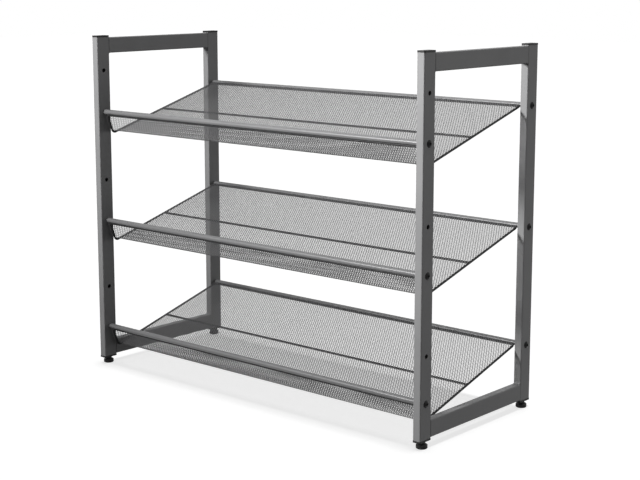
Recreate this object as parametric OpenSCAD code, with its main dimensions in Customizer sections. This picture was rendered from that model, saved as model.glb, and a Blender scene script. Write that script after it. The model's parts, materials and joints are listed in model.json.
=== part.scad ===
// Three-tier shoe rack: two welded side frames of rectangular tube, with three mesh shelves bolted between
// them. Each shelf is tilted forward and can be bolted level through the spare front holes.
// The rack stands on z = 0, is centred on x and y, and its front faces -y.

/* [Side frames] */
// Width of the rack across the outer faces of the posts
rack_w = 800; // [500:1:1200]
// Depth of the rack across the outer faces of the posts
rack_d = 325; // [260:1:420]
// Length of a post tube
post_len = 632; // [580:1:800]
// Side of the rectangular tube that runs across the rack
tube_w = 15; // [13:0.5:20]
// Side of the rectangular tube that runs along the side frame
tube_d = 30; // [25:0.5:40]
// Wall of the rectangular tube
tube_wall = 1.2; // [0.8:0.1:1.5]
// Outer corner radius of the rectangular tube
tube_r = 2; // [1.8:0.1:3]
// Distance from a post's end to the edge of the rail beside it
rail_inset = 1; // [0:0.5:20]

/* [Shelves] */
// Height of the lowest shelf's rear bolts above the lower end of the post tubes
first_bolt = 101; // [95:1:120]
// Height from one shelf to the next
shelf_pitch = 213.5; // [180:0.5:220]
// Distance of the front bolts below the rear bolts, which tilts the shelf
front_drop = 40; // [20:1:45]
// Distance of the spare front holes above the rear bolts, which level the shelf
spare_rise = 40; // [20:1:60]
// Outer diameter of the front and rear tubes
bar_d = 9.5; // [9:0.5:13]
// Wall of the front and rear tubes
bar_wall = 0.8; // [0.7:0.1:1.2]
// Distance of the edge wire's fold below the front tube's axis
fold_drop = 42; // [36:0.5:45]
// Distance of the edge wire's fold behind the front tube's axis
fold_in = 15; // [5:0.5:25]
// Diameter of the edge wire
wire_d = 4; // [3.5:0.5:5]
// Radius of the edge wire's bends, at its centre line
wire_bend = 7; // [5:0.5:8]
// Extra thickness of the edge wire at its bends, and of the mesh at its fold
bend_swell = 0.1; // [0.05:0.05:0.3]
// Length that the straight runs of the edge wire and the lip reach into their bends
bend_sink = 0.3; // [0.1:0.1:0.5]
// Distance from a post's inner face to the edge wire's centre line
wire_in = 5.5; // [4:0.5:15]
// Diameter of the rod under the middle of the floor
rod_d = 4; // [3:0.5:4.5]
// Distance from the edge wire's fold to that rod's axis, along the floor
rod_place = 136; // [110:1:160]
// Thickness of the mesh sheet
sheet_t = 0.8; // [0.6:0.1:1.2]
// Length of a mesh gap's cell along the rack
cell_l = 82; // [70:1:120]
// Width of a mesh gap's cell across the shelf
cell_w = 45; // [40:1:60]
// Width of a strand between two gaps
strand_w = 10; // [6:0.5:12]
// Plain margin of the sheet along its edges
sheet_margin = 5; // [4:0.5:8]

/* [Fasteners] */
// Diameter of a shelf bolt's shank
bolt_d = 6; // [5:0.5:6.5]
// Length of a shelf bolt under its head
bolt_len = 30; // [26:1:36]
// Diameter of a shelf bolt's head
bolt_head_d = 12.5; // [10:0.5:14]
// Height of a shelf bolt's head
bolt_head_h = 3.5; // [2.8:0.1:4]
// Key size of the hex socket in a bolt's head
bolt_key = 4; // [3:0.5:5]
// Depth of the hex socket in a bolt's head
bolt_key_depth = 2; // [1.5:0.1:2.2]
// Length of the threaded insert in the end of a round tube
insert_len = 22; // [16:1:30]

/* [Caps and feet] */
// Thickness of the lip of a post's cap and plug
lip_t = 3; // [2:0.5:5]
// Distance that the lip stands proud of the tube on each side
lip_over = 0.4; // [0:0.1:1]
// Depth of the spigot inside the tube
spigot_len = 14; // [12:1:20]
// Wall of the cap's hollow spigot
spigot_wall = 1.8; // [1.2:0.1:2.5]
// Diameter of a foot's pad
foot_d = 19.5; // [16:0.5:26]
// Height of a foot's pad
foot_h = 7; // [5:0.5:10]
// Bevel at the top and bottom edges of a foot's pad
foot_bevel = 1; // [0.5:0.1:2]
// Diameter of the neck between a foot's pad and the post
neck_d = 12; // [10:0.5:14]
// Height of the neck
neck_h = 4.7; // [3:0.1:8]
// Diameter of a foot's stud
stud_d = 6; // [5:0.5:6]
// Length of a foot's stud above the neck
stud_len = 30; // [28:1:36]
// Depth of the stud's head end in the pad
stud_sink = 8; // [4:0.5:9]
// Width across the flats of a foot's nut
nut_af = 10; // [9:0.5:10]
// Height of a foot's nut
nut_h = 5; // [4:0.5:6]

/* [Clearances] */
// Gap between a spigot and the inside of its tube
spigot_play = 0.1; // [0.05:0.05:0.3]
// Gap round a bolt in a post's hole
bolt_play = 1; // [0.2:0.1:1.2]
// Gap round a bolt or stud in its thread
thread_play = 0.15; // [0.1:0.05:0.3]
// Gap between an insert and the inside of its tube
insert_play = 0.05; // [0.02:0.01:0.1]
// Gap of a welded joint between a round tube and a wire, a rod or the mesh
weld_gap = 0.2; // [0.1:0.05:0.4]
// Gap between a foot's neck and the plug above it, with the foot screwed right in
neck_gap = 0.3; // [0.2:0.1:1]

/* [Hidden] */
$fn = 48;
SHELVES = ["bottom_shelf", "middle_shelf", "top_shelf"];
SHELF_PIECES = [
    "front_tube", "rear_tube", "floor_mesh", "lip_mesh",
    "edge_wire", "middle_rod", "inserts", "bolts",
];
SIDES = [["left", -1], ["right", 1]];
ENDS = [["front", -1], ["rear", 1]];
POST_PIECES = ["post", "cap", "plug", "foot", "stud"];

STEEL_PAINT = "dimgray";
MESH_PAINT = "gray";
BLACK = "black";
STEEL = "silver";

// Heights of the side frame
plug_z = foot_h + neck_h + neck_gap;
post_z = plug_z + lip_t;
post_top = post_z + post_len;
post_x = (rack_w - tube_w) / 2;
post_y = (rack_d - tube_d) / 2;
rail_len = rack_d - 2 * tube_d;
bore_r = tube_r - tube_wall;
rail_heights = [post_z + rail_inset, post_top - rail_inset - tube_d];

// Places of the shelves, with the angles in the side view measured from +y
inner_x = rack_w / 2 - tube_w;
bar_run = 2 * post_y;
rear_bolts = [for (i = [0:len(SHELVES) - 1]) post_z + first_bolt + i * shelf_pitch];
floor_rise = front_drop + fold_drop;
floor_run = bar_run - fold_in;
floor_a = atan2(floor_rise, floor_run);
floor_len = norm([floor_rise, floor_run]);
lip_a = 180 - atan2(fold_drop, fold_in);
lip_len = norm([fold_drop, fold_in]);
fold_angle = lip_a - floor_a;
fold_y = fold_in - post_y;
wire_x = inner_x - wire_in;
bend_len = wire_bend / tan(fold_angle / 2);
bar_reach = bar_d / 2 + weld_gap;
sheet_off = wire_d / 2 + bend_swell;
sheet_reach = sqrt(bar_reach * bar_reach - sheet_off * sheet_off);
sheet_half = wire_x;
lip_wire = lip_len - bar_reach - wire_d / 2;
floor_wire = floor_len - bar_reach - wire_d / 2;

module rounded_rect(w, d, r) {
    square([w - 2 * r, d], center = true);
    square([w, d - 2 * r], center = true);
    for (x = [-1, 1], y = [-1, 1])
        translate([x * (w / 2 - r), y * (d / 2 - r)])
            circle(r);
}

module tube_section() {
    difference() {
        rounded_rect(tube_w, tube_d, tube_r);
        rounded_rect(tube_w - 2 * tube_wall, tube_d - 2 * tube_wall, bore_r);
    }
}

// Puts its children at the post of one side and end
module at_post(side, end) {
    translate([side * post_x, end * post_y, 0])
        children();
}

// Lays a cylinder along x, from one end to the other
module bar_along_x(from, to, d) {
    translate([from, 0, 0])
        rotate([0, 90, 0])
            cylinder(h = to - from, d = d);
}

// Lays a cylinder along y, from one end to the other
module bar_along_y(from, to, d) {
    translate([0, from, 0])
        rotate([-90, 0, 0])
            cylinder(h = to - from, d = d);
}

// A side frame's post, with holes through both walls for the bolts
module post(side, end) {
    hole_offsets = end < 0 ? [-front_drop, spare_rise] : [0];
    color(STEEL_PAINT)
        at_post(side, end)
            difference() {
                translate([0, 0, post_z])
                    linear_extrude(post_len)
                        tube_section();
                for (z = rear_bolts, offset = hole_offsets)
                    translate([0, 0, z + offset])
                        bar_along_x(-tube_w, tube_w, bolt_d + 2 * bolt_play);
            }
}

// A rail between the two posts of a side frame
module rail(side, z) {
    color(STEEL_PAINT)
        translate([side * post_x, -rail_len / 2, z + tube_d / 2])
            rotate([-90, 0, 0])
                linear_extrude(rail_len)
                    tube_section();
}

// The outline that fills the inside of a post tube, with its play
module spigot_section() {
    inset = tube_wall + spigot_play;
    rounded_rect(tube_w - 2 * inset, tube_d - 2 * inset, bore_r);
}

// The lip that closes the end of a post tube
module post_lip() {
    linear_extrude(lip_t)
        rounded_rect(tube_w + 2 * lip_over, tube_d + 2 * lip_over, tube_r + lip_over);
}

// The cap on top of a post, with a hollow spigot
module cap(side, end) {
    inset = 2 * (tube_wall + spigot_play + spigot_wall);
    color(BLACK)
        at_post(side, end) {
            translate([0, 0, post_top])
                post_lip();
            translate([0, 0, post_top - spigot_len])
                linear_extrude(spigot_len)
                    difference() {
                        spigot_section();
                        square([tube_w - inset, tube_d - inset], center = true);
                    }
        }
}

// The outline of a foot's nut
module nut_section(play) {
    circle(d = (nut_af + 2 * play) / cos(30), $fn = 6);
}

// The plug in the foot of a post, with a pocket for the foot's nut
module plug(side, end) {
    color(BLACK)
        at_post(side, end)
            difference() {
                union() {
                    translate([0, 0, plug_z])
                        post_lip();
                    translate([0, 0, post_z])
                        linear_extrude(spigot_len)
                            spigot_section();
                }
                translate([0, 0, plug_z - lip_t])
                    cylinder(h = spigot_len + 3 * lip_t, d = stud_d + 4 * thread_play);
                translate([0, 0, post_z + spigot_len - nut_h])
                    linear_extrude(2 * nut_h)
                        nut_section(spigot_play);
            }
}

// The nuts in the plugs, which the feet screw into
module foot_nuts() {
    color(STEEL)
        for (side = [-1, 1], end = [-1, 1])
            at_post(side, end)
                translate([0, 0, post_z + spigot_len - nut_h])
                    linear_extrude(nut_h)
                        difference() {
                            nut_section(0);
                            circle(d = stud_d + 2 * thread_play);
                        }
}

// A levelling foot's pad and neck, moulded round its stud
module foot(side, end) {
    color(BLACK)
        at_post(side, end)
            difference() {
                rotate_extrude()
                    polygon([
                        [0, 0],
                        [foot_d / 2 - foot_bevel, 0],
                        [foot_d / 2, foot_bevel],
                        [foot_d / 2, foot_h - foot_bevel],
                        [foot_d / 2 - foot_bevel, foot_h],
                        [neck_d / 2, foot_h],
                        [neck_d / 2, foot_h + neck_h],
                        [0, foot_h + neck_h],
                    ]);
                translate([0, 0, foot_h + neck_h - stud_sink])
                    cylinder(h = 2 * stud_sink, d = stud_d);
            }
}

// A levelling foot's stud
module stud(side, end) {
    color(STEEL)
        at_post(side, end)
            translate([0, 0, foot_h + neck_h - stud_sink])
                cylinder(h = stud_sink + stud_len, d = stud_d);
}

// Puts its children at the axis of a shelf's front or rear tube
module at_bar(shelf, end) {
    translate([0, end * post_y, rear_bolts[shelf] - (end < 0 ? front_drop : 0)])
        children();
}

// Puts its children in a shelf's floor plane: y runs up the floor from the edge wire's fold
module on_floor(shelf) {
    translate([0, fold_y, rear_bolts[shelf] - floor_rise])
        rotate([floor_a, 0, 0])
            children();
}

// Puts its children in a shelf's lip plane: y runs up the lip from the edge wire's fold
module on_lip(shelf) {
    translate([0, fold_y, rear_bolts[shelf] - floor_rise])
        rotate([lip_a, 0, 0])
            children();
}

// Puts its children at the centre of a shelf's fold, in the side view: z runs along the rack
module at_fold(shelf) {
    reach = wire_bend / sin(fold_angle / 2);
    middle_a = (floor_a + lip_a) / 2;
    translate([0, fold_y + reach * cos(middle_a), rear_bolts[shelf] - floor_rise + reach * sin(middle_a)])
        rotate([90, 0, 90])
            rotate([0, 0, lip_a + 90])
                children();
}

// A shelf's front or rear tube
module shelf_tube(shelf, end) {
    color(STEEL_PAINT)
        at_bar(shelf, end)
            difference() {
                bar_along_x(-inner_x, inner_x, bar_d);
                bar_along_x(-rack_w, rack_w, bar_d - 2 * bar_wall);
            }
}

// The threaded inserts in the ends of a shelf's two tubes
module inserts(shelf) {
    color(STEEL)
        for (end = [-1, 1], side = [0, 1])
            mirror([side, 0, 0])
                at_bar(shelf, end)
                    difference() {
                        bar_along_x(inner_x - insert_len, inner_x, bar_d - 2 * bar_wall - 2 * insert_play);
                        bar_along_x(0, rack_w, bolt_d + 2 * thread_play);
                    }
}

// The outline of half a bolt's domed head, turned about y
module bolt_head_section() {
    dome_r = (bolt_head_d * bolt_head_d / 4 + bolt_head_h * bolt_head_h) / (2 * bolt_head_h);
    intersection() {
        translate([0, bolt_head_h - dome_r])
            circle(dome_r);
        square([bolt_head_d, bolt_head_h]);
    }
}

// A shelf's four bolts, from the outside of the posts into the inserts
module bolts(shelf) {
    color(BLACK)
        for (end = [-1, 1], side = [0, 1])
            mirror([side, 0, 0])
                at_bar(shelf, end) {
                    bar_along_x(rack_w / 2 - bolt_len, rack_w / 2, bolt_d);
                    translate([rack_w / 2, 0, 0])
                        rotate([0, 90, 0])
                            difference() {
                                rotate_extrude()
                                    bolt_head_section();
                                translate([0, 0, bolt_head_h - bolt_key_depth])
                                    cylinder(h = bolt_head_h, d = bolt_key / cos(30), $fn = 6);
                            }
                }
}

// A bend of the edge wire, from the x axis towards the y axis, a little thicker than its straight runs
module wire_elbow(angle) {
    rotate_extrude(angle = angle)
        translate([wire_bend, 0])
            circle(d = wire_d + bend_swell);
}

// One end of the edge wire's loop, in the lip or floor plane: its run along the rack at y = run,
// two corners and two legs down to the fold
module wire_hoop(run) {
    corner = wire_bend - bend_sink;
    translate([0, run, 0])
        bar_along_x(corner - wire_x, wire_x - corner, wire_d);
    for (side = [0, 1])
        mirror([side, 0, 0]) {
            translate([wire_x - wire_bend, run - wire_bend, 0])
                wire_elbow(90);
            translate([wire_x, 0, 0])
                bar_along_y(bend_len - bend_sink, run - corner, wire_d);
        }
}

// A shelf's edge wire: a loop under the front tube, down the lip, round the fold, up the floor and
// along the rear tube
module edge_wire(shelf) {
    color(STEEL_PAINT) {
        on_lip(shelf)
            wire_hoop(lip_wire);
        on_floor(shelf)
            wire_hoop(floor_wire);
        for (side = [-1, 1])
            translate([side * wire_x, 0, 0])
                at_fold(shelf)
                    wire_elbow(180 - fold_angle);
    }
}

// A shelf's middle rod, between the two sides of the edge wire
module middle_rod(shelf) {
    reach = wire_x - wire_d / 2 - weld_gap;
    color(STEEL_PAINT)
        on_floor(shelf)
            translate([0, rod_place, (wire_d - rod_d) / 2])
                bar_along_x(-reach, reach, rod_d);
}

// One diamond-shaped gap of the mesh in a cell of l by w, halved where a side of it is closed
module mesh_gap(l, w, left_open, right_open, front_open, rear_open) {
    shrink = 1 - strand_w * norm([l, w]) / (l * w);
    polygon([
        if (left_open) [-shrink * l / 2, 0],
        if (front_open) [0, -shrink * w / 2],
        if (right_open) [shrink * l / 2, 0],
        if (rear_open) [0, shrink * w / 2],
    ]);
}

// A flat stretch of the mesh, from y = from to y = to, with staggered rows of gaps inside a plain margin
module net(from, to) {
    open_l = 2 * (sheet_half - sheet_margin);
    open_w = to - from - 2 * sheet_margin;
    columns = max(1, floor(open_l / cell_l));
    lines = max(1, round(open_w / cell_w));
    l = open_l / columns;
    w = open_w / lines;
    linear_extrude(sheet_t)
        difference() {
            translate([-sheet_half, from])
                square([2 * sheet_half, to - from]);
            translate([-open_l / 2, from + sheet_margin]) {
                for (row = [0:lines - 1], column = [0:columns - 1])
                    translate([(column + 0.5) * l, (row + 0.5) * w])
                        mesh_gap(l, w, true, true, true, true);
                for (row = [0:lines], column = [1:1:columns - 1])
                    translate([column * l, row * w])
                        mesh_gap(l, w, true, true, row > 0, row < lines);
                for (row = [1:1:lines - 1], column = [0, columns])
                    translate([column * l, row * w])
                        mesh_gap(l, w, column > 0, column == 0, true, true);
            }
        }
}

// The sloping floor of a shelf's mesh, on top of the edge wire
module floor_mesh(shelf) {
    color(MESH_PAINT)
        on_floor(shelf)
            translate([0, 0, sheet_off])
                net(bend_len, floor_len - sheet_reach);
}

// The lip of a shelf's mesh, behind the edge wire, with the mesh's fold
module lip_mesh(shelf) {
    color(MESH_PAINT) {
        on_lip(shelf)
            translate([0, 0, -sheet_off - sheet_t])
                net(bend_len - bend_sink, lip_len - sheet_reach);
        at_fold(shelf)
            rotate_extrude(angle = 180 - fold_angle)
                translate([wire_bend - sheet_off - sheet_t - bend_swell / 2, -sheet_half])
                    square([sheet_t + bend_swell, 2 * sheet_half]);
    }
}

for (e = ENDS, s = SIDES) {
    corner = str(e[0], "_", s[0]);
    post(s[1], e[1]);
    cap(s[1], e[1]);
    plug(s[1], e[1]);
    foot(s[1], e[1]);
    stud(s[1], e[1]);
}
for (s = SIDES) {
    rail(s[1], rail_heights[1]);
    rail(s[1], rail_heights[0]);
}
foot_nuts();
for (k = [0:len(SHELVES) - 1]) {
    shelf_tube(k, -1);
    shelf_tube(k, 1);
    floor_mesh(k);
    lip_mesh(k);
    edge_wire(k);
    middle_rod(k);
    inserts(k);
    bolts(k);
}
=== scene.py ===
"""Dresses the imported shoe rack: mesh shelves, welds, threads, paint, studio light and camera."""
import json
import math

import bmesh
import bpy
from mathutils import Matrix, Vector


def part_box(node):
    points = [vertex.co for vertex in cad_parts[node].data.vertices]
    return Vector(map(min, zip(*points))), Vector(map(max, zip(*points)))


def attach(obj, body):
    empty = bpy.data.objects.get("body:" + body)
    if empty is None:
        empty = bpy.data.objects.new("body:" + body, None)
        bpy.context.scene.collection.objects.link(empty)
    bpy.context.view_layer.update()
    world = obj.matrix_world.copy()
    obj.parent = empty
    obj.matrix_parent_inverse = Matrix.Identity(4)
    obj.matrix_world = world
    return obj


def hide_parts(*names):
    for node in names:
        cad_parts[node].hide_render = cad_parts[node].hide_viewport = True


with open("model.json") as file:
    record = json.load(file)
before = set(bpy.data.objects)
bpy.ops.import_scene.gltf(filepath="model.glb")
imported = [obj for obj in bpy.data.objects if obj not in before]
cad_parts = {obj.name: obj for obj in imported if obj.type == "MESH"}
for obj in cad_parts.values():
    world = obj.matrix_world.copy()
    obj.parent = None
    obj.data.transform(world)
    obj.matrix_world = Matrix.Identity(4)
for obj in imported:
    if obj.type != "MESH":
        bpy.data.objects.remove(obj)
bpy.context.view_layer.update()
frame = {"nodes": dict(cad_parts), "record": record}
record = frame["record"]

# Sizes in metres, the same as the CAD model's
MM = 0.001
FOLD_DROP = 42 * MM
FOLD_IN = 15 * MM
WIRE_D = 4 * MM
WIRE_BEND = 7 * MM
BEND_SWELL = 0.1 * MM
BAR_D = 9.5 * MM
WELD_GAP = 0.2 * MM

# Welds at the rails' inner corners, with ripples and low ends given as shares of the radius
FILLET_R = 3.5 * MM
FILLET_SIDE = 1 * MM
FILLET_STEPS = 24
FILLET_TURNS = 8
RIPPLE_PITCH = 2 * MM
RIPPLE_DEPTH = 0.06
END_LOW = 0.45
END_RISE = 3

# The thread on the feet's studs, with its levels per turn
THREAD_PITCH = 1 * MM
THREAD_DEPTH = 0.55 * MM
THREAD_AROUND = 32
THREAD_LEVELS = 8

# Soft edges of the plastic pieces
EDGE_W = 0.5 * MM
EDGE_SEGMENTS = 3
EDGE_ANGLE = 40

# The shelves' mesh: gaps about 5 mm apart along the rack and 8.5 mm apart up the shelf
SHEET_T = 0.5 * MM
STRAND_W = 0.9 * MM
NET_EDGE = 0.3 * MM
HALF_COLUMNS = 154
FLOOR_ROWS = 66
LIP_ROWS = 10
SITE_DIGITS = 5
NO_AREA = 1e-6

SHELVES = ("bottom_shelf", "middle_shelf", "top_shelf")
ENDS = ("front", "rear")
SIDES = ("left", "right")
EAST = (1, 0)
NORTH = (0, 1)
WEST = (-1, 0)
SOUTH = (0, -1)

# Materials: clouds in the colour, unevenness of the gloss, and the range of a noise that counts
CLOUD_SCALE = 14
GRAIN_DETAIL = 2.0
GLOSS_SPREAD = 0.05
NOISE_LOW = 0.3
NOISE_HIGH = 0.7

# Floor
FLOOR_GRID = 8
FLOOR_ROUGHNESS = 0.9


def centre(node):
    """The middle of a CAD node's box."""
    low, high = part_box(node)
    return (low + high) / 2


def in_side_view(point):
    """A point's y and z."""
    return Vector((point.y, point.z))


# Places of the lowest shelf, in the side view
front_bar = in_side_view(centre("bottom_shelf_front_tube"))
rear_bar = in_side_view(centre("bottom_shelf_rear_tube"))
fold = front_bar + Vector((FOLD_IN, -FOLD_DROP))
floor_dir = (rear_bar - fold).normalized()
lip_dir = (front_bar - fold).normalized()
floor_up = Vector((-floor_dir.y, floor_dir.x))
lip_in = Vector((lip_dir.y, -lip_dir.x))
fold_angle = floor_dir.angle(lip_dir)
bend_len = WIRE_BEND / math.tan(fold_angle / 2)
bend_centre = fold + floor_dir * bend_len + floor_up * WIRE_BEND
bar_reach = BAR_D / 2 + WELD_GAP
wire_reach = (WIRE_D + BEND_SWELL) / 2
sheet_off = wire_reach + SHEET_T / 2
sheet_reach = math.sqrt(bar_reach ** 2 - wire_reach ** 2)
floor_len = (rear_bar - fold).length
lip_len = (front_bar - fold).length
arc_r = WIRE_BEND - sheet_off
arc_len = arc_r * (math.pi - fold_angle)
floor_net_len = floor_len - sheet_reach - bend_len
lip_net_len = lip_len - sheet_reach - bend_len + arc_len
net_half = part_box("bottom_shelf_floor_mesh")[1].x - NET_EDGE


def sheet_point(x, s):
    """A point of the folded sheet, where s runs up the floor from the end of the fold.

    On the fold and the lip, s is negative.
    """
    if s >= 0:
        p = fold + floor_dir * (bend_len + s) + floor_up * sheet_off
    elif s > -arc_len:
        turn = Matrix.Rotation(s / arc_r, 2)
        p = bend_centre - turn @ floor_up * arc_r
    else:
        p = fold + lip_dir * (bend_len - arc_len - s) + lip_in * sheet_off
    return Vector((x, p.x, p.y))


def to_mesh(name, bm, smooth=False):
    """A mesh made from bmesh faces."""
    bmesh.ops.recalc_face_normals(bm, faces=bm.faces)
    for face in bm.faces:
        face.smooth = smooth
    mesh = bpy.data.meshes.new(name)
    bm.to_mesh(mesh)
    bm.free()
    return mesh


# Materials
def nodes_of(name):
    """A new material's node tree and its shader."""
    material = bpy.data.materials.new(name)
    material.use_nodes = True
    tree = material.node_tree
    return material, tree, tree.nodes["Principled BSDF"]


def noise(tree, scale, detail=3.0, roughness=0.5):
    """A noise texture in the object's own coordinates."""
    place = tree.nodes.new("ShaderNodeTexCoord")
    texture = tree.nodes.new("ShaderNodeTexNoise")
    texture.inputs["Scale"].default_value = scale
    texture.inputs["Detail"].default_value = detail
    texture.inputs["Roughness"].default_value = roughness
    tree.links.new(place.outputs["Object"], texture.inputs["Vector"])
    return texture.outputs["Fac"]


def colour_between(tree, factor, dark, pale):
    """A colour that follows a factor, from dark to pale over the middle of its range."""
    ramp = tree.nodes.new("ShaderNodeValToRGB")
    ramp.color_ramp.elements[0].position = NOISE_LOW
    ramp.color_ramp.elements[1].position = NOISE_HIGH
    ramp.color_ramp.elements[0].color = (*dark, 1)
    ramp.color_ramp.elements[1].color = (*pale, 1)
    tree.links.new(factor, ramp.inputs["Fac"])
    return ramp.outputs["Color"]


def value_between(tree, factor, low, high):
    """A value that follows a factor, from low to high over the middle of its range."""
    scaled = tree.nodes.new("ShaderNodeMapRange")
    scaled.inputs["From Min"].default_value = NOISE_LOW
    scaled.inputs["From Max"].default_value = NOISE_HIGH
    scaled.inputs["To Min"].default_value = low
    scaled.inputs["To Max"].default_value = high
    tree.links.new(factor, scaled.inputs["Value"])
    return scaled.outputs["Result"]


def bump(tree, shader, height, depth):
    """Raises the shader's surface by a height, to a depth in metres."""
    raised = tree.nodes.new("ShaderNodeBump")
    raised.inputs["Distance"].default_value = depth
    tree.links.new(height, raised.inputs["Height"])
    tree.links.new(raised.outputs["Normal"], shader.inputs["Normal"])


def coated(name, grey, spread, roughness, grain, depth, metallic=0.0, specular=0.5):
    """A painted or moulded surface: cloudy in colour, uneven in gloss, with a fine grain."""
    material, tree, shader = nodes_of(name)
    clouds = noise(tree, CLOUD_SCALE)
    dark = [c * (1 - spread) for c in grey]
    pale = [c * (1 + spread) for c in grey]
    tree.links.new(colour_between(tree, clouds, dark, pale), shader.inputs["Base Color"])
    fine = noise(tree, grain, GRAIN_DETAIL)
    gloss = value_between(tree, fine, roughness - GLOSS_SPREAD, roughness + GLOSS_SPREAD)
    tree.links.new(gloss, shader.inputs["Roughness"])
    bump(tree, shader, fine, depth)
    shader.inputs["Metallic"].default_value = metallic
    shader.inputs["Specular IOR Level"].default_value = specular
    return material


PAINT = coated(
    "frame_paint", grey=(0.20, 0.20, 0.202), spread=0.05,
    roughness=0.42, grain=900, depth=0.03 * MM, specular=0.1)
SHELF_PAINT = coated(
    "shelf_paint", grey=(0.12, 0.12, 0.1218), spread=0.05,
    roughness=0.32, grain=900, depth=0.03 * MM, specular=0.3)
# Wires and middle rods: a near-black copy of the shelf paint, which is painted shade; the real wires carry
# the same grey paint and look black only where they lie in shade
WIRE_PAINTED_SHADE = coated(
    "wire_painted_shade", grey=(0.02, 0.02, 0.0205), spread=0.05,
    roughness=0.36, grain=900, depth=0.03 * MM, specular=0.1)
MESH_PAINT = coated(
    "mesh_paint", grey=(0.10, 0.10, 0.102), spread=0.05,
    roughness=0.45, grain=700, depth=0.02 * MM, specular=0.15)
PLASTIC = coated(
    "black_plastic", grey=(0.013, 0.013, 0.013), spread=0.2,
    roughness=0.5, grain=1600, depth=0.05 * MM, specular=0.13)
BOLT = coated(
    "black_bolts", grey=(0.008, 0.008, 0.0082), spread=0.2,
    roughness=0.38, grain=1200, depth=0.02 * MM, specular=0.12)
ZINC = coated(
    "zinc_steel", grey=(0.62, 0.62, 0.63), spread=0.08,
    roughness=0.32, grain=1100, depth=0.02 * MM, metallic=1.0)
FINISHES = {
    "frame_paint": PAINT,
    "shelf_paint": SHELF_PAINT,
    "mesh_paint": MESH_PAINT,
    "black_plastic": PLASTIC,
    "black_bolts": BOLT,
    "zinc_steel": ZINC,
}


def piece(name, mesh, place, body, slot):
    """A piece of the rack in its place, which moves with a body and takes a slot's finish."""
    obj = bpy.data.objects.new(name, mesh)
    bpy.context.scene.collection.objects.link(obj)
    obj.location = place
    mesh.materials.clear()
    mesh.materials.append(FINISHES[slot])
    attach(obj, body)
    return obj


# Shelf mesh
def diamond_net(name, x_from, x_to, columns, s_from, s_to, rows):
    """A piece of mesh: a grid of sites, with a diamond gap on every other one, and strands between."""
    dx = (x_to - x_from) / columns
    ds = (s_to - s_from) / rows
    opened = 1 - STRAND_W * math.hypot(dx, ds) / (2 * dx * ds)
    bm = bmesh.new()
    made = {}

    def corner(column, row, side):
        """The corner of a gap on one side of its site, kept on the sheet, in columns and rows."""
        c = min(max(column + side[0] * opened, 0), columns)
        r = min(max(row + side[1] * opened, 0), rows)
        return (round(c, SITE_DIGITS), round(r, SITE_DIGITS))

    def face(*corners):
        """A face between four corners, unless it lies outside the sheet."""
        a, b, c, d = corners
        area = (c[0] - a[0]) * (d[1] - b[1]) - (d[0] - b[0]) * (c[1] - a[1])
        if area < NO_AREA:
            return
        verts = []
        for p in dict.fromkeys(corners):
            if p not in made:
                made[p] = bm.verts.new(sheet_point(x_from + p[0] * dx, s_from + p[1] * ds))
            verts.append(made[p])
        bm.faces.new(verts)

    for i in range(columns + 1):
        for j in range(rows + 1):
            if (i + j) % 2:
                # Where four strands meet
                face(corner(i - 1, j, EAST), corner(i, j - 1, NORTH),
                     corner(i + 1, j, WEST), corner(i, j + 1, SOUTH))
            else:
                # The two strands on the upper side of a gap
                face(corner(i, j, EAST), corner(i + 1, j + 1, SOUTH),
                     corner(i + 1, j + 1, WEST), corner(i, j, NORTH))
                face(corner(i, j, NORTH), corner(i - 1, j + 1, EAST),
                     corner(i - 1, j + 1, SOUTH), corner(i, j, WEST))
    return to_mesh(name, bm)


FLOOR_NETS = {
    "left": diamond_net("floor_net_left", -net_half, 0, HALF_COLUMNS, 0, floor_net_len, FLOOR_ROWS),
    "right": diamond_net("floor_net_right", 0, net_half, HALF_COLUMNS, 0, floor_net_len, FLOOR_ROWS),
}
LIP_NET = diamond_net("lip_net", -net_half, net_half, 2 * HALF_COLUMNS, -lip_net_len, 0, LIP_ROWS)


def hang_net(name, mesh, shelf, node):
    """A piece of mesh at the height of its shelf, in place of its CAD node."""
    height = centre(shelf + "_rear_tube").z - rear_bar.y
    net = piece(name, mesh, (0, 0, height), "rack", "mesh_paint")
    thick = net.modifiers.new("thickness", "SOLIDIFY")
    thick.thickness = SHEET_T
    thick.offset = 0
    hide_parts(node)


for shelf in SHELVES:
    for side in SIDES:
        hang_net(f"{shelf}_floor_net_{side}", FLOOR_NETS[side], shelf, shelf + "_floor_mesh")
    hang_net(f"{shelf}_lip_net", LIP_NET, shelf, shelf + "_lip_mesh")


# Welds
def fillet(name, length, along, up):
    """A rippled weld along x in a corner, which spreads to y and z in the directions along and up."""
    bm = bmesh.new()
    angles = [math.radians(90 * k / FILLET_TURNS) for k in range(FILLET_TURNS + 1)]
    rings = []
    for i in range(FILLET_STEPS + 1):
        x = length * (i / FILLET_STEPS - 0.5)
        ripple = 1 - RIPPLE_DEPTH + RIPPLE_DEPTH * math.cos(2 * math.pi * x / RIPPLE_PITCH)
        ends = min(1, END_LOW + END_RISE * math.sin(math.pi * i / FILLET_STEPS))
        r = FILLET_R * ripple * ends
        arc = [(r * (1 - math.sin(a)), r * (1 - math.cos(a))) for a in angles]
        rings.append([bm.verts.new((x, along * y, up * z)) for y, z in [(0, 0)] + arc])
    for one, other in zip(rings, rings[1:]):
        for k in range(len(one)):
            j = (k + 1) % len(one)
            bm.faces.new((one[k], one[j], other[j], other[k]))
    bm.faces.new(rings[0])
    bm.faces.new(rings[-1])
    return to_mesh(name, bm, smooth=True)


for side in SIDES:
    for rail, up in (("top_rail", -1), ("bottom_rail", 1)):
        low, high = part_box(f"{side}_{rail}")
        length = high.x - low.x - 2 * FILLET_SIDE
        for end, along, y in (("front", 1, low.y), ("rear", -1, high.y)):
            name = f"{side}_{rail}_{end}_weld"
            corner = ((low.x + high.x) / 2, y, high.z if up > 0 else low.z)
            piece(name, fillet(name, length, along, up), corner, "rack", "frame_paint")


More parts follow.
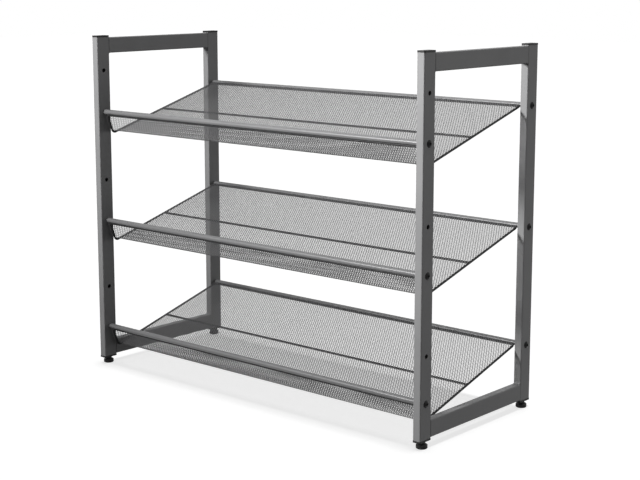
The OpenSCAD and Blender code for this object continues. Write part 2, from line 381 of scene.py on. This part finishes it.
# Threads of the feet
def thread(name, length, radius):
    """A stud with a single-start thread, from z = 0 up, with its tip bevelled."""
    bm = bmesh.new()
    levels = round(THREAD_LEVELS * length / THREAD_PITCH)
    rings = []
    for k in range(levels + 1):
        z = length * k / levels
        tip = min(1, (length - z) / THREAD_PITCH)
        ring = []
        for j in range(THREAD_AROUND):
            turn = j / THREAD_AROUND
            valley = abs(2 * ((z / THREAD_PITCH - turn) % 1) - 1)
            r = radius - THREAD_DEPTH * max(valley, 1 - tip)
            a = 2 * math.pi * turn
            ring.append(bm.verts.new((r * math.cos(a), r * math.sin(a), z)))
        rings.append(ring)
    for one, other in zip(rings, rings[1:]):
        for j in range(THREAD_AROUND):
            i = (j + 1) % THREAD_AROUND
            bm.faces.new((one[j], one[i], other[i], other[j]))
    bm.faces.new(rings[0])
    bm.faces.new(rings[-1])
    return to_mesh(name, bm, smooth=True)


for end in ENDS:
    for side in SIDES:
        node = f"{end}_{side}_stud"
        low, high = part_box(node)
        place = ((low.x + high.x) / 2, (low.y + high.y) / 2, low.z)
        mesh = thread(f"{node}_thread", high.z - low.z, (high.x - low.x) / 2)
        stud = piece(f"{node}_thread", mesh, place, f"{end}_{side}_leveller", "zinc_steel")
        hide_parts(node)


# Carried-over CAD nodes
for part in record["subparts"]:
    obj = frame["nodes"][part["node"]]
    obj.data.materials.clear()
    # The wires and middle rods take the near-black copy: painted shade for the shade they lie in under the
    # mesh and tubes
    wire = part["node"].endswith(("_edge_wire", "_middle_rod"))
    obj.data.materials.append(WIRE_PAINTED_SHADE if wire else FINISHES[part["material_slot"]])
    if part["node"].endswith(("_cap", "_plug", "_foot")):
        edge = obj.modifiers.new("soft_edges", "BEVEL")
        edge.width = EDGE_W
        edge.segments = EDGE_SEGMENTS
        edge.angle_limit = math.radians(EDGE_ANGLE)


# Stage
def light_path_factor(tree):
    """1 for the rays that show the background: those from the camera, and those from gloss and glass."""
    path = tree.nodes.new("ShaderNodeLightPath")
    shown = path.outputs["Is Camera Ray"]
    for kind in ("Is Glossy Ray", "Is Transmission Ray"):
        larger = tree.nodes.new("ShaderNodeMath")
        larger.operation = "MAXIMUM"
        tree.links.new(shown, larger.inputs[0])
        tree.links.new(path.outputs[kind], larger.inputs[1])
        shown = larger.outputs["Value"]
    return shown


def make_world(ambient):
    """A dim grey surround that lights the rack, and shows white behind it."""
    world = bpy.data.worlds.new("studio")
    bpy.context.scene.world = world
    world.use_nodes = True
    tree = world.node_tree
    sky = tree.nodes["Background"]
    sky.inputs["Color"].default_value = (1, 1, 1, 1)
    strength = tree.nodes.new("ShaderNodeMapRange")
    strength.inputs["To Min"].default_value = ambient
    strength.inputs["To Max"].default_value = 1.0
    tree.links.new(light_path_factor(tree), strength.inputs["Value"])
    tree.links.new(strength.outputs["Result"], sky.inputs["Strength"])


def make_floor(size, lift, bounce, shown):
    """A white floor: it shows lifted to white, keeps the rack's shadow, and throws little light back up."""
    bm = bmesh.new()
    bmesh.ops.create_grid(bm, x_segments=FLOOR_GRID, y_segments=FLOOR_GRID, size=size)
    material, tree, shader = nodes_of("floor_white")
    seen = light_path_factor(tree)
    colour = tree.nodes.new("ShaderNodeMix")
    colour.data_type = "RGBA"
    colour.inputs["A"].default_value = (bounce, bounce, bounce, 1)
    colour.inputs["B"].default_value = (shown, shown, shown, 1)
    tree.links.new(seen, colour.inputs["Factor"])
    tree.links.new(colour.outputs["Result"], shader.inputs["Base Color"])
    shader.inputs["Roughness"].default_value = FLOOR_ROUGHNESS
    shader.inputs["Specular IOR Level"].default_value = 0.0
    shader.inputs["Emission Color"].default_value = (1, 1, 1, 1)
    glow = tree.nodes.new("ShaderNodeMath")
    glow.operation = "MULTIPLY"
    glow.inputs[1].default_value = lift
    tree.links.new(seen, glow.inputs[0])
    tree.links.new(glow.outputs["Value"], shader.inputs["Emission Strength"])
    floor = bpy.data.objects.new("floor", to_mesh("floor", bm))
    floor.data.materials.append(material)
    bpy.context.scene.collection.objects.link(floor)
    return floor


def aim(obj, place, target):
    """Puts an object at a place, facing a target."""
    obj.location = place
    obj.rotation_euler = (Vector(target) - Vector(place)).to_track_quat("-Z", "Y").to_euler()


def lamp_object(name, lamp, place, target):
    """A lamp in its place, which the camera doesn't see itself."""
    obj = bpy.data.objects.new(name, lamp)
    obj.visible_camera = False
    bpy.context.scene.collection.objects.link(obj)
    aim(obj, place, target)
    return obj


def softbox(name, place, target, size, spread, watts):
    """A rectangular lamp with a grid, which keeps its light within a beam."""
    lamp = bpy.data.lights.new(name, "AREA")
    lamp.shape = "RECTANGLE"
    lamp.size, lamp.size_y = size
    lamp.spread = math.radians(spread)
    lamp.energy = watts
    return lamp_object(name, lamp, place, target)


def overhead(name, place, target, spread, strength):
    """An even light from above, softer the wider its spread."""
    lamp = bpy.data.lights.new(name, "SUN")
    lamp.angle = math.radians(spread)
    lamp.energy = strength
    return lamp_object(name, lamp, place, target)


def link_light(lamp, obj, state):
    """Keeps a lamp's light to one object (INCLUDE) or off it (EXCLUDE). All still throw shadows."""
    linked = bpy.data.collections.new(lamp.name + "_receivers")
    linked.objects.link(obj)
    linked.collection_objects[0].light_linking.link_state = state
    lamp.light_linking.receiver_collection = linked


make_world(ambient=0.07)
floor = make_floor(size=12, lift=0.75, bounce=0.23, shown=0.56)
rack_lamps = (
    overhead("sky", place=(0, 0, 3), target=(0, 0, 0), spread=80, strength=1.9),
    softbox("key", place=(-0.9, -2.19, 1.24), target=(0.26, -0.1, 0.88),
            size=(0.5, 0.53), spread=63, watts=20),
    softbox("fill", place=(3.6, 3.0, 0.7), target=(-0.1, 0, 0.38),
            size=(1.1, 1.1), spread=100, watts=8.4),
)
# The floor has a lamp of its own, so that it shows only an even shadow under the rack
floor_lamp = overhead("floor_light", place=(0, 0.12, 3), target=(0, 0, 0), spread=8, strength=1.5)
for lamp in rack_lamps:
    link_light(lamp, floor, "EXCLUDE")
link_light(floor_lamp, floor, "INCLUDE")

# Camera
CAMERA_PLACE = (1.7175, -1.9119, 0.7705)
CAMERA_YAW = 41.24
CAMERA_PITCH = 9.57
CAMERA_LENS = 78.73
CAMERA_SHIFT = -0.05
CAMERA_SENSOR = 36
lens = bpy.data.cameras.new("camera")
lens.sensor_width = CAMERA_SENSOR
lens.lens = CAMERA_LENS
lens.shift_y = CAMERA_SHIFT
camera = bpy.data.objects.new("camera", lens)
camera.location = CAMERA_PLACE
camera.rotation_euler = (math.radians(90 - CAMERA_PITCH), 0, math.radians(CAMERA_YAW))
bpy.context.scene.collection.objects.link(camera)
bpy.context.scene.camera = camera

bpy.context.scene.view_settings.view_transform = "Standard"
